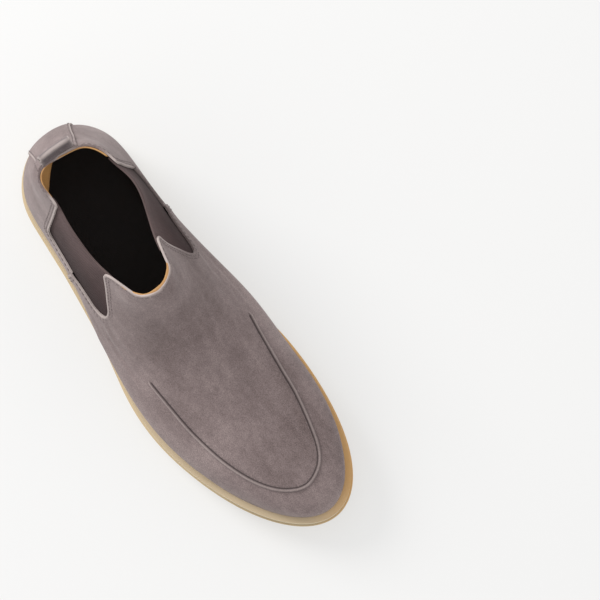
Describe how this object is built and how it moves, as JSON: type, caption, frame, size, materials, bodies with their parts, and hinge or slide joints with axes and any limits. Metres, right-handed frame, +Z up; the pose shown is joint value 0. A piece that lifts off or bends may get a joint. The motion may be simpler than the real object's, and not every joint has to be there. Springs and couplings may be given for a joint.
{
  "type": "chelsea boot",
  "caption": "Right-foot low chelsea boot: suede upper with elastic gores, corded apron seam, folding pull tab and a cream rubber sole with gum tread pods.",
  "frame": {"origin": "centre of the boot's bounding box in plan, on the floor it stands on", "axes": "+X from the heel to the toe, +Y to the inner (medial) side of the foot, +Z up"},
  "size_m": [0.3, 0.1054, 0.1434],
  "materials": {
    "suede": "napped suede, matt",
    "elastic": "ribbed woven elastic, matt",
    "lining_leather": "smooth vegetable-tanned lining leather",
    "sock_leather": "smooth black leather, satin",
    "cream_rubber": "moulded rubber, matt",
    "pale_rubber": "moulded rubber, fine texture",
    "gum": "gum rubber, slightly glossy",
    "foam": "open-cell foam",
    "board": "pressed leather-fibre board",
    "cork": "granulated cork",
    "stiffener": "impregnated stiffener sheet",
    "shank_steel": "tempered steel strip"
  },
  "bodies": {
    "boot": {"outsole": "cream_rubber", "tread_pods": "gum", "midsole_rand": "pale_rubber", "bottom_filler": "cork", "shank": "shank_steel", "insole_board": "board", "footbed": "foam", "footbed_sock": "sock_leather", "quarter_lateral": "suede", "quarter_medial": "suede", "vamp": "suede", "apron_cord": "suede", "backstrap": "suede", "gore_lateral": "elastic", "gore_medial": "elastic", "quarter_lining": "lining_leather", "vamp_lining": "lining_leather", "heel_counter": "stiffener", "toe_puff": "stiffener"},
    "pull_tab": {"pull_tab": "suede"}
  },
  "joints": [
    {"name": "pull_tab_fold", "type": "hinge", "parent": "boot", "child": "pull_tab", "pos_m": [-0.1228, -0.0004, 0.1285], "axis": [0, 1, 0], "range_deg": [-60, 85], "stiffness_Nm_per_rad": 0.005}
  ]
}
